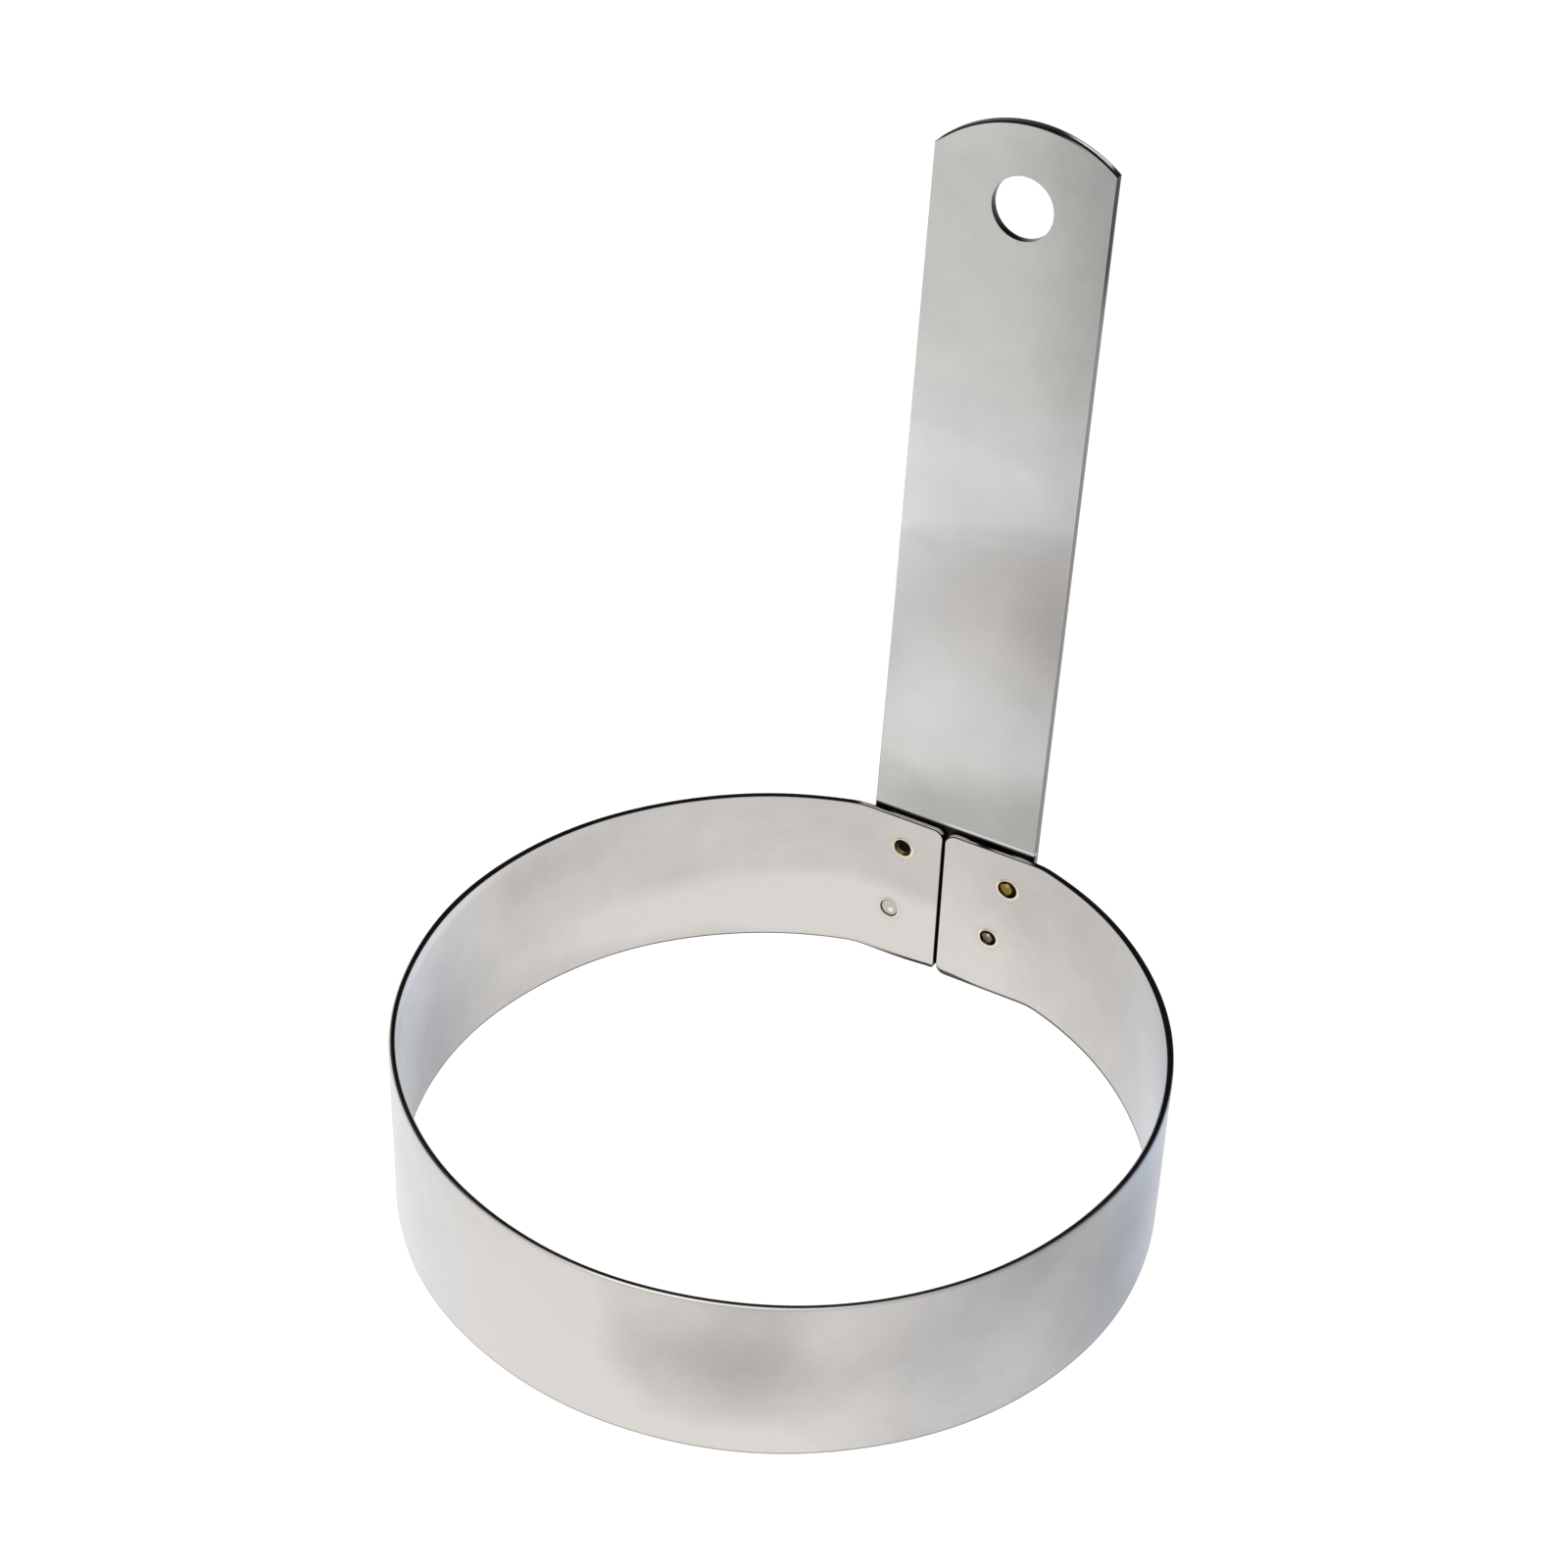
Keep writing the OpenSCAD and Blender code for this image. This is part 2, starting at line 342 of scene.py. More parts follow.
class Signal:
    """A shader socket in an expression: every operator adds the Math node that works it out."""

    def __init__(self, finish, socket):
        self.finish, self.socket = finish, socket

    def math(self, operation, *others):
        values = dict(enumerate((self,) + others))
        return self.finish.node("ShaderNodeMath", {"operation": operation}, values)

    def __add__(self, other):
        return self.math("ADD", other)

    def __sub__(self, other):
        return self.math("SUBTRACT", other)

    def __mul__(self, other):
        return self.math("MULTIPLY", other)

    def __rsub__(self, other):
        return self.finish.node("ShaderNodeMath", {"operation": "SUBTRACT"}, {0: other, 1: self})

    __radd__, __rmul__ = __add__, __mul__

    def either(self, other):
        """The larger of two masks."""
        return self.math("MAXIMUM", other)

    def step(self, low, high):
        """Rises smoothly from 0 at low to 1 at high, or falls where low is the larger."""
        first, last = (0.0, 1.0) if low < high else (1.0, 0.0)
        return self.finish.node("ShaderNodeMapRange", {"interpolation_type": "SMOOTHSTEP"}, {
            "Value": self, "From Min": min(low, high), "From Max": max(low, high),
            "To Min": first, "To Max": last})

    def band(self, low, full, fading, high):
        """Rises from 0 at low to 1 at full, and falls from 1 at fading to 0 at high."""
        return self.step(low, full) * self.step(high, fading)


class Finish:
    """A material, or the world, as it is put together from nodes."""

    def __init__(self, owner):
        owner.use_nodes = True
        self.owner, self.tree = owner, owner.node_tree
        self.tree.nodes.clear()

    def node(self, kind, settings=None, values=None, output=0):
        """Adds a node: its settings first, then the numbers or links of its sockets."""
        made = self.tree.nodes.new(kind)
        for key, setting in (settings or {}).items():
            setattr(made, key, setting)
        for key, value in (values or {}).items():
            if isinstance(value, Signal):
                self.tree.links.new(value.socket, made.inputs[key])
            else:
                made.inputs[key].default_value = value
        return Signal(self, made.outputs[output]) if made.outputs else None

    def vector(self, operation, *values, output="Vector"):
        """A Vector Math node on the values."""
        return self.node("ShaderNodeVectorMath", {"operation": operation}, dict(enumerate(values)), output)

    def mark(self, name):
        """The number that the mesh carries under that name."""
        return self.node("ShaderNodeAttribute", {"attribute_name": name}, output="Fac")

    def flat(self, axis=None):
        """The flat place in millimetres, or its X or Y alone."""
        place = self.node("ShaderNodeUVMap", {"uv_map": "flat"})
        return place if axis is None else self.node("ShaderNodeSeparateXYZ", {}, {0: place}, axis)

    def body(self, axis=None):
        """The place in the object's own space in metres, or its X, Y or Z alone."""
        place = self.node("ShaderNodeTexCoord", output="Object")
        return place if axis is None else self.node("ShaderNodeSeparateXYZ", {}, {0: place}, axis)

    def distance(self, point, weights=(1, 1, 1)):
        """Distance in metres from a point in millimetres. A weight of 0 leaves its axis out."""
        offset = self.vector("SUBTRACT", self.body(), tuple(MM * value for value in point))
        return self.vector("LENGTH", self.vector("MULTIPLY", offset, weights), output="Value")

    def flat_noise(self, along, shift):
        """Noise that changes only along the flat X, with along grains to the millimetre."""
        shaded_crescent = self.vector("MULTIPLY_ADD", self.flat(), (along, 0, 0), (shift, shift, shift))
        return self.node("ShaderNodeTexNoise", {}, {
            "Vector": shaded_crescent, "Scale": 1.0, "Detail": 0.0, "Roughness": 0.5})

    def body_noise(self, scale, detail=2.0, roughness=0.5):
        """Noise through the object's own space, with scale grains to the metre."""
        return self.node("ShaderNodeTexNoise", {}, {
            "Vector": self.body(), "Scale": scale, "Detail": detail, "Roughness": roughness})

    def oval(self, along, up, half_length, half_height, soft):
        """A soft oval on the flat places: 0 at its edge, rising inwards to 1 at the share soft of
        the way out from its centre, and 1 inside that."""
        scale = (1 / half_length, 1 / half_height, 0)
        shift = (-along / half_length, -up / half_height, 0)
        offset = self.vector("MULTIPLY_ADD", self.flat(), scale, shift)
        return self.vector("LENGTH", offset, output="Value").step(1.0, soft)

    def shade(self, start, ovals):
        """The number start, plus each soft oval times its amount. An oval is given by its place
        along and up, its half-length and half-height, its soft share and its amount."""
        total = start
        for *shape, amount in ovals:
            total = self.oval(*shape) * amount + total
        return total

    def blend(self, factor, one, other):
        """Colour one where factor is 0 and other where it is 1."""
        one, other = [colour if isinstance(colour, Signal) else (*colour, 1) for colour in (one, other)]
        return self.node("ShaderNodeMix", {"data_type": "RGBA"}, {0: factor, 6: one, 7: other}, 2)

    def metal(self, colour, roughness, height, bump, bare=1.0):
        """The metal itself. bump is the relief in millimetres that a height of 1 stands for, and bare is 1
        where the metal mirrors and 0 where a painted highlight makes it only pale."""
        relief = self.node("ShaderNodeBump", {}, {
            "Strength": 1.0, "Distance": bump * MM, "Height": height})
        shader = self.node("ShaderNodeBsdfPrincipled", {}, {
            "Base Color": colour, "Roughness": roughness, "Metallic": bare, "Normal": relief})
        self.node("ShaderNodeOutputMaterial", {}, {"Surface": shader})
        return self.owner


SATIN_BUMP = 0.0005


def satin(finish, warm, cool, painted_tone, painted_tint, clouding):
    """Satin steel: the brightness with its painted light and shade, faintly clouded, times a colour
    between warm and cool by the painted share of blue, where cool is a painted reflection of blue light.
    Gives that colour and a fine relief."""
    patches, haze, grain = [finish.body_noise(scale) for scale in (60, 220, 1400)]
    clouds = (patches - 0.5) * 0.20 + (haze - 0.5) * 0.09 + (grain - 0.5) * 0.05
    colour = finish.blend(clouds * clouding + painted_tone, (0, 0, 0), finish.blend(painted_tint, warm, cool))
    return colour, grain + haze


# Painted light and shade on the strip's two faces, as paler and dimmer ovals, and a painted reflection of
# blue light, by the place along it and up it
strip_finish = Finish(bpy.data.materials.new("strip_satin"))
along_strip, up_strip = strip_finish.flat("X"), strip_finish.flat("Y")
strip_side = strip_finish.mark("side")
on_inside = strip_side.step(-0.2, 0.2)
inside_painted_light = strip_finish.shade(0.85, [
    (332, 6, 94, 8.5, 0.35, 0.24),  # pale foot of the wall left of the joint
    (-25, -11, 54, 39, 0.7, 0.16),  # pale foot of the wall right of the joint
    (225, 4, 30, 24, 0.2, -0.33),  # dim foot of the far left
    (259, 21, 16, 7.5, 0.05, -0.13),  # dim patch under the rim on the left
    (218, 25.3, 46, 2.7, 0.5, 0.18),  # pale line along the rim at the far left
    (329, 19, 9.5, 3, 0.25, -0.10),  # dim spot at the joint's left end
    (41, 21, 46, 22, 0, -0.12),  # dim wall under the rim on the right
    (141, 12, 76, 90, 0.75, 0.28),  # pale front
    (192, 12, 26, 90, 0.5, 0.25),  # paler still where the front goes over into the left
])
# Painted light and shade on the outside
outside_painted_light = strip_finish.shade(0.525, [
    (205, 4, 91, 98, 0.6, 0.425),  # pale left half
    (146, 11, 23, 14, 0.25, -0.28),  # dim patch in the middle of the front
    (130, 1, 92, 35, 0.05, 0.27),  # pale foot of the front
    (76, 7.5, 29, 21, 0.25, -0.28),  # dim turn on the right
    (123.5, 28, 20, 15, 0, 0.26),  # pale patch under the rim, right of the middle
    (145.5, 28, 17, 27, 0.5, -0.13),  # dim patch under the rim in the middle
    (325, 12, 70, 90, 0.5, 0.28),  # pale back, left of the handle
    (0, 12, 55, 90, 0.4, 0.28),  # pale back, right of the handle
])
# Painted reflection of blue light at the far left and the far right of the inside
inside_painted_blue = strip_finish.shade(0.0, [
    (203, 12, 57, 90, 0.1, 0.62),  # cool far left
    (66, 12, 40, 90, 0, 0.50),  # cool far right
])
inside_painted_blue = inside_painted_blue * along_strip.step(205, 216).either(along_strip.step(80, 62))
# Painted reflection of blue light on the outside
outside_painted_blue = strip_finish.shade(0.0, [
    (60, 12, 38, 90, 0, 1.9),  # cool turn on the right
    (105, 12, 45, 90, 0, 0.12),  # faintly cool front
    (198, 12, 26, 90, 0.2, 0.20),  # faintly cool turn on the left
])
strip_painted_light = on_inside * inside_painted_light + (1 - on_inside) * outside_painted_light
strip_painted_blue = on_inside * inside_painted_blue + (1 - on_inside) * outside_painted_blue
strip_warm, strip_reflected_blue = (0.60, 0.573, 0.545), (0.47, 0.565, 0.72)
strip_colour, strip_relief = satin(strip_finish, strip_warm, strip_reflected_blue, strip_painted_light, strip_painted_blue, 1.0)

# Heat halo round each weld, straw brown and uneven
HALO_EDGE, HALO_FULL = 2.9 * MM, 1.5 * MM
straw_brown = (0.50, 0.44, 0.32)
weld_haze = strip_finish.body_noise(500, 3.0, 0.6)
halo = 0.0
for weld_x, weld_z in weld_places.values():
    from_weld = strip_finish.distance((weld_x, SEAT_Y - STRIP_THICKNESS, weld_z))
    halo = from_weld.step(HALO_EDGE, HALO_FULL).either(halo)
strip_colour = strip_finish.blend(halo * weld_haze * 0.6, strip_colour, straw_brown)

# Sheared edge and painted shade: nearly black all round the rim and the ends, dark sheared metal with
# painted shade over it, broader at the back of the rim and filling the narrow joint; thin and grey at the
# base, as painted contact shade; and two bright broken lines along the rim beside the handle, which are
# painted highlights
edge_black_and_shade, highlight_pale = (0.022, 0.021, 0.022), (0.75, 0.73, 0.69)
strip_edge = strip_finish.mark("edge")
to_end = along_strip.math("MINIMUM", STRIP_LENGTH - along_strip)
# Painted shade of the dark space above on the rim's top, broader at the back
at_rear = along_strip.step(75, 50).either(along_strip.step(222, 245))
rim_dark_and_shade = (strip_edge + at_rear * 0.5).step(0.87, 0.98) * up_strip.step(24, 25)
end_dark_and_shade = strip_edge.step(0.15, 0.35) * to_end.step(1.5, 0.5)

# Painted contact shade: a thin line along the foot, wider near the first end and stronger on the inside,
# and a dark patch at the last end's foot
foot_shade_line = (strip_finish.mark("from_edge") - along_strip.step(8, 1) * 0.30).step(0.32, 0.14)
painted_foot_shade = strip_edge.step(0.02, 0.2).either(foot_shade_line) * up_strip.step(1.5, 0.7)
drawn_share = ((along_strip - drawn_from) * (1 / DRAWN_RUN)).math("MAXIMUM", 0).math("MINIMUM", 1)
above_drawn = up_strip - drawn_share * drawn_share * DRAW_UP
left_foot_shade = along_strip.step(STRIP_LENGTH - 14, STRIP_LENGTH - 4) * above_drawn.step(0.70, 0.42)
painted_foot_shade = (painted_foot_shade * (on_inside * 0.5 + 0.4)).either(left_foot_shade)
strip_edge_and_shade = rim_dark_and_shade.either(painted_foot_shade).either(end_dark_and_shade)

# Painted highlights: two bright broken lines along the rim beside the handle, where the metal is made
# plain pale
broken_inner = strip_finish.flat_noise(0.22, 3.1).step(0.30, 0.42)
broken_outer = strip_finish.flat_noise(0.25, 8.6).step(0.42, 0.55)
inner_line = strip_side.band(-0.05, 0.10, 0.40, 0.55) * broken_inner
outer_line = strip_side.band(-0.75, -0.55, -0.30, -0.10) * broken_outer
painted_rim_highlight = (inner_line + outer_line * 0.8) * to_end.step(14.2, 12.8) * up_strip.step(24.9, 25.2)
strip_colour = strip_finish.blend(strip_edge_and_shade, strip_colour, edge_black_and_shade)
strip_colour = strip_finish.blend(painted_rim_highlight, strip_colour, highlight_pale)
strip_roughness = strip_edge_and_shade * 0.2 + (weld_haze - 0.5) * 0.04 + painted_rim_highlight * 0.4 + 0.25
strip.data.materials.append(
    strip_finish.metal(strip_colour, strip_roughness, strip_relief, SATIN_BUMP, 1 - painted_rim_highlight))
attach(strip, "root")
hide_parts("ring_band")


# Handle
# A flat strap of stainless steel, 25.4 mm wide and 1.4 mm thick, stands against the outside of
# the strip and bridges its joint. It bends outward a little just below the rim, its top is cut
# to a low arc with two sharp corners, and one round hole is punched through it for hanging.

STRAP_THICKNESS = 1.4
FOOT_Z = 0.6
BEND_Z = 23.2
BEND_RADIUS = 6
LEAN = np.radians(3)
BLADE_LENGTH = 109.9
CROWN_RADIUS = 19.3
CROWN_SHIFT = 1.0

# The bend's centre and middle radius, and how far up the strap the bend and the arch's top are
BEND_Y = SEAT_Y + STRAP_THICKNESS + BEND_RADIUS
BEND_MIDDLE_RADIUS = BEND_RADIUS + STRAP_THICKNESS / 2
BEND_START = BEND_Z - FOOT_Z
BEND_END = BEND_START + BEND_MIDDLE_RADIUS * LEAN
CROWN_TOP = BEND_END + BLADE_LENGTH


def bent(a, b, t):
    """Place on the strap for the distance a across it, b up it from its foot, and the height t
    towards the ring. Below the bend it runs straight up, round the bend it keeps its distance
    from the bend's centre while its direction turns evenly, and above it runs straight again."""
    turn = np.clip((b - BEND_START) / BEND_MIDDLE_RADIUS, 0, LEAN)
    below = np.minimum(b - BEND_START, 0)
    above = np.maximum(b - BEND_END, 0)
    radius = BEND_MIDDLE_RADIUS + t
    y = BEND_Y - radius * np.cos(turn) + above * np.sin(LEAN)
    z = BEND_Z + radius * np.sin(turn) + below + above * np.cos(LEAN)
    return np.column_stack([a, y, z])


def crown_height(a):
    """Height of the arched top over the place a across the strap: a circle's upper half."""
    return CROWN_TOP - CROWN_RADIUS + np.sqrt(CROWN_RADIUS ** 2 - (a - CROWN_SHIFT) ** 2)


# Half the strap's width, the radius of its foot's corners, and how finely its outline is drawn.
# The two long sides differ in length, and both get the points of a side of GUIDE_LENGTH.
half_width, foot_corner = STRAP_WIDTH / 2, 0.4
FOOT_STEP, SIDE_STEP, FOOT_CORNER_STEPS, GUIDE_LENGTH = 0.7, 1.2, 4, 100


def long_side(direction):
    """One long side of the strap, from the middle of its rounded foot corner to the crown."""
    corner_at = (half_width - foot_corner, foot_corner)
    corner_arc = arc(corner_at, foot_corner, 315, 360, FOOT_CORNER_STEPS)
    share = graded(GUIDE_LENGTH, SIDE_STEP) / GUIDE_LENGTH
    climb = foot_corner + share * (crown_height(direction * half_width) - foot_corner)
    return chain(corner_arc, np.column_stack([np.full(len(climb), half_width), climb])) * [direction, 1]


foot_end = half_width - foot_corner
foot = chain(arc((-foot_end, foot_corner), foot_corner, 225, 270, FOOT_CORNER_STEPS),
             straight((-foot_end, 0), (foot_end, 0), FOOT_STEP),
             arc((foot_end, foot_corner), foot_corner, 270, 315, FOOT_CORNER_STEPS))
crown_at = foot[:, 0] / foot[-1, 0] * half_width
crown = np.column_stack([crown_at, crown_height(crown_at)])


def strap_edge(a, b):
    """Radius of the strap's rounded edges, which are crisper round the crown."""
    return np.interp(b, [CROWN_TOP - 8, CROWN_TOP - 5], [0.2, 0.12])


strap = sheet_metal("strap_handle", [foot, long_side(1), crown, long_side(-1)],
                    STRAP_THICKNESS, strap_edge, strap_edge, bent)

# The hanging hole's punch leaves a small round at the front and a larger one at the back
HOLE_RADIUS = 8.73 / 2
HOLE_ACROSS, HOLE_BELOW_TOP = 0.4, 11.5
FRONT_FLARE, BACK_FLARE = 0.05, 0.3
PUNCH_WIDER, PUNCH_DEPTH = 0.6, 1.6


def flared(size):
    """Radii and depths along a round of that size, from the hole's wall out to the strap's face.
    It stops at 68 degrees, so that it crosses the face cleanly."""
    angle = np.radians(np.linspace(0, 68, 6))
    radii = HOLE_RADIUS + size * (1 - np.cos(angle))
    return radii, STRAP_THICKNESS / 2 + size * (np.sin(angle) - np.sin(angle[-1]))


front_radii, front_depths = flared(FRONT_FLARE)
back_radii, back_depths = flared(BACK_FLARE)
punch_end = [0, HOLE_RADIUS + PUNCH_WIDER]
punch_radii = np.concatenate([punch_end, back_radii[::-1], front_radii, punch_end[::-1]])
punch_depths = np.concatenate([
    [-PUNCH_DEPTH, -PUNCH_DEPTH], -back_depths[::-1], front_depths, [PUNCH_DEPTH, PUNCH_DEPTH]])
hole_centre = bent(np.array([HOLE_ACROSS]), np.array([CROWN_TOP - HOLE_BELOW_TOP]), np.array([0.0]))[0]
hole_axis = np.array([0, -np.cos(LEAN), np.sin(LEAN)])
punch = turned("punch", punch_radii, punch_depths, hole_centre, hole_axis, 128)
drill(strap, weld_drills(SEAT_Y, SEAT_Y + STRAP_THICKNESS) + [punch])

# Painted light and shade and a painted reflection of blue light on the strap's front, by the place across
# it and up it. Its back has one even brightness.
STRAP_BACK_TONE = 0.53
strap_finish = Finish(bpy.data.materials.new("strap_satin"))
across_strap, up_strap = strap_finish.flat("X"), strap_finish.flat("Y")
strap_side = strap_finish.mark("side")
facing = strap_side.step(-0.2, 0.2)
strap_front_painted_light = strap_finish.shade(0.65, [
    (30, 28, 80, 52, 0.95, -0.055),  # lower half a little dimmer, up to a faint line
    (-17.5, 54, 32, 27.5, 0, 0.36),  # broad pale patch on the left, below the middle
    (-11, 79, 26, 9.5, 0.75, 0.04),  # pale band across the middle
    (13, 67, 13.5, 31, 0, -0.095),  # dim right edge beside the pale patch
    (40, 134, 46, 64, 0.55, -0.18),  # dim upper right
    (22, 3, 47, 40.5, 0.75, -0.18),  # dim right foot
    (5, 36, 6.5, 11, 0.05, 0.045),  # small pale spot above the right foot
    (20, 119, 85, 49, 0.35, -0.155),  # dim upper half
    (-11, 30, 12, 5.5, 0.35, -0.065),  # dim left foot above the rim
])
strap_painted_blue = strap_finish.shade(0.0, [
    (0, 82, 60, 20, 0, 0.25),  # cool band above the middle
    (0, 45, 60, 14, 0, 0.22),  # cool band below the middle
])
strap_light_and_tone = facing * strap_front_painted_light + (1 - facing) * STRAP_BACK_TONE
strap_warm, strap_reflected_blue = (0.96, 0.938, 0.908), (0.85, 0.905, 0.99)
strap_colour, strap_relief = satin(
    strap_finish, strap_warm, strap_reflected_blue, strap_light_and_tone, facing * strap_painted_blue, 0.6)

# Sheared edge and painted shade: grey down the two sides and nearly black round the crown, whose upward
# edge carries painted shade, with a thin painted shade line on the front just below the crown at its left
# and middle; a painted highlight streak on the right of the crown and a painted glint on the hole's wall
crown_black_and_shade, side_grey, highlight_bright = (0.008, 0.008, 0.009), (0.20, 0.195, 0.19), (0.8, 0.79, 0.77)
body_across, body_height = strap_finish.body("X"), strap_finish.body("Z")
near_crown = body_height.step(106 * MM, 118 * MM)
cut_and_shade_colour = strap_finish.blend(near_crown, side_grey, crown_black_and_shade)
crown_shade_line = up_strap.step(CROWN_TOP - 6, CROWN_TOP - 4.5) * across_strap.step(10, 4) * facing
crown_shade_line = strap_finish.mark("from_edge").step(0.22, 0.06) * crown_shade_line
strap_edge_and_shade = strap_finish.mark("edge").step(0.35, 0.65).either(crown_shade_line)

# Painted highlights: a pale streak on the right of the crown's edge and a glint on the hole's wall, where
# the metal is made plain pale
crown_highlight = strap_side.band(-0.85, -0.5, -0.1, 0.3) * across_strap.band(4.0, 7.5, 11.4, 12.6)
crown_highlight = crown_highlight * up_strap.step(112, 114)
hole_glint = strap_finish.mark("depth").band(-0.45, -0.25, 0.15, 0.30)
hole_glint = hole_glint * strap_finish.mark("reach").step(4.2, 4.3)
hole_glint = hole_glint * body_height.step(120 * MM, 118.5 * MM) * body_across.step(3.5 * MM, 1.5 * MM)
painted_highlights = crown_highlight + hole_glint * 0.7
strap_colour = strap_finish.blend(strap_edge_and_shade, strap_colour, cut_and_shade_colour)
strap_colour = strap_finish.blend(painted_highlights * strap_edge_and_shade, strap_colour, highlight_bright)

# Painted black shade on the face that is hidden behind the strip, and a painted highlight line just above
# the rim
RIM_UP = STRIP_HEIGHT - FOOT_Z
shade_black, lit_pale = (0.015, 0.014, 0.013), (0.80, 0.78, 0.75)
hidden = strap_side.step(0.2, 0.9) * up_strap.step(RIM_UP + 0.9, RIM_UP + 0.5)
lit_line = up_strap.band(RIM_UP + 0.75, RIM_UP + 0.95, RIM_UP + 1.0, RIM_UP + 1.3)
lit_line = lit_line * facing * (across_strap.step(-3, 1) * 0.65 + 0.1)
strap_colour = strap_finish.blend(lit_line, strap_colour, lit_pale)
strap_colour = strap_finish.blend(hidden, strap_colour, shade_black)
strap_patches = strap_finish.body_noise(60)
strap_roughness = (strap_patches - 0.5) * 0.05 + strap_edge_and_shade * 0.15 + painted_highlights * 0.4 + 0.27
strap.data.materials.append(
    strap_finish.metal(strap_colour, strap_roughness, strap_relief, SATIN_BUMP, 1 - painted_highlights))
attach(strap, "root")
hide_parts("handle")


# Spot welds
# Four resistance spot welds hold the strap to both ends of the strip. On the inside of the ring
# the electrode has sunk a small round print with a raised lip, tinted straw to brown by the
# heat. On the back of the strap each leaves only a shallow print.

LIP_WIDTH, LIP_HEIGHT, LIP_SINK = 0.4, 0.09, 0.015
FLOOR_ROUND, FLOOR_DISH = 0.06, 0.06
BACK_PRINT = 0.12
WELD_STACK = STRIP_THICKNESS + STRAP_THICKNESS
WELD_BUMP, WELD_ROUGHNESS = 0.006, 0.30

# Colours of the weld metal, tinted by the heat. The black and the umber also serve as painted shade in the
# prints, and the cream as a painted highlight on the lips.
brass, olive, silver = (0.22, 0.145, 0.035), (0.17, 0.15, 0.09), (0.46, 0.45, 0.42)
umber_and_shade, brown, soot_and_shade = (0.06, 0.04, 0.015), (0.17, 0.12, 0.06), (0.005, 0.004, 0.003)
lip_cream_and_highlight, pale_steel, pit_brown = (0.72, 0.66, 0.54), (0.62, 0.60, 0.56), (0.10, 0.085, 0.06)

# For each print: the radius of its lip's crest, its depth and the width of its wall, the colours of its
# floor, wall and lip and of the painted shade in it, the circle that is free of that shade (its place
# across and up from the middle, and its radius), and a glint, given the same way, and its colour, a
# painted highlight or on the upper left a black spot
weld_looks = {
    "upper_left": {
        "crest": 1.42, "depth": 0.55, "wall": 0.38,
        "floor": soot_and_shade, "side": brown, "lip": lip_cream_and_highlight, "scale": soot_and_shade,
        "unshaded": (0, 0, 3.0), "glint": (-0.35, 0.1, 0.3), "bright": soot_and_shade},
    "lower_left": {
        "crest": 1.45, "depth": 0.08, "wall": 0.18,
        "floor": silver, "side": umber_and_shade, "lip": pale_steel, "scale": umber_and_shade,
        "unshaded": (0.15, 0.1, 1.30), "glint": (0.25, -0.3, 0.55), "bright": (0.72, 0.71, 0.68)},
    "upper_right": {
        "crest": 1.50, "depth": 0.45, "wall": 0.24,
        "floor": brass, "side": umber_and_shade, "lip": lip_cream_and_highlight, "scale": soot_and_shade,
        "unshaded": (-0.50, -0.45, 0.98), "glint": (-0.25, 0.30, 0.42), "bright": (0.42, 0.30, 0.08)},
    "lower_right": {
        "crest": 1.33, "depth": 0.40, "wall": 0.20,
        "floor": olive, "side": umber_and_shade, "lip": lip_cream_and_highlight, "scale": soot_and_shade,
        "unshaded": (-0.40, -0.45, 0.84), "glint": (-0.15, 0.1, 0.36), "bright": (0.50, 0.46, 0.34)},
}


def weld_profile(look):
    """Radius and depth from the middle of the print on the strip to the middle of the print on
    the strap: a slightly dished floor, a wall that eases up to the lip's crest, the lip's outer
    side as half a wave, the hidden core, and a shallow print at the back."""
    floor_edge = look["crest"] - look["wall"]
    floor_end = floor_edge - FLOOR_ROUND
    floor_low = look["depth"] * (1 - FLOOR_DISH)
    floor = np.linspace(0, floor_end, 10)
    rise = np.linspace(0, 1, 10)[1:]
    fall = np.linspace(0, 1, 9)[1:]
    eased = rise * rise * (3 - 2 * rise)
    front_radii = [floor,
                   floor_end + (look["wall"] + FLOOR_ROUND) * rise,
                   look["crest"] + LIP_WIDTH * fall]
    front_depths = [look["depth"] * (1 - FLOOR_DISH * (floor / floor_edge) ** 2),
                    floor_low - (LIP_HEIGHT + floor_low) * eased,
                    -LIP_HEIGHT + (LIP_HEIGHT + LIP_SINK) * (1 - np.cos(np.pi * fall)) / 2]
    core, print_low = WELD_RADIUS - 0.01, WELD_STACK - BACK_PRINT
    back = np.array([
        (core, 0.1),
        (core, WELD_STACK - 0.02),
        (WELD_RADIUS - 0.12, WELD_STACK + 0.005),
        (1.30, print_low + 0.03),
        (1.15, print_low + 0.005),
        (0.7, print_low),
        (0, print_low),
    ])
    return np.concatenate(front_radii + [back[:, 0]]), np.concatenate(front_depths + [back[:, 1]])


def uneven(look, start):
    """Lift of a print's surface, turned about by start: the lip stands higher on one side and
    wavers three times round, and the floor is a little tilted."""
    def lift(angle, radius, depth):
        lip = np.exp(-((radius - look["crest"]) / 0.1) ** 2)
        high_side = -0.02 * lip * np.cos(angle - 2.4 + 0.2 * start)
        waver = 0.012 * lip * np.sin(3 * angle + start)
        tilt = 0.03 * radius * np.cos(angle + start) * (radius < look["crest"] - look["wall"])
        return np.where(depth < WELD_STACK / 2, high_side + waver + tilt, 0)
    return lift


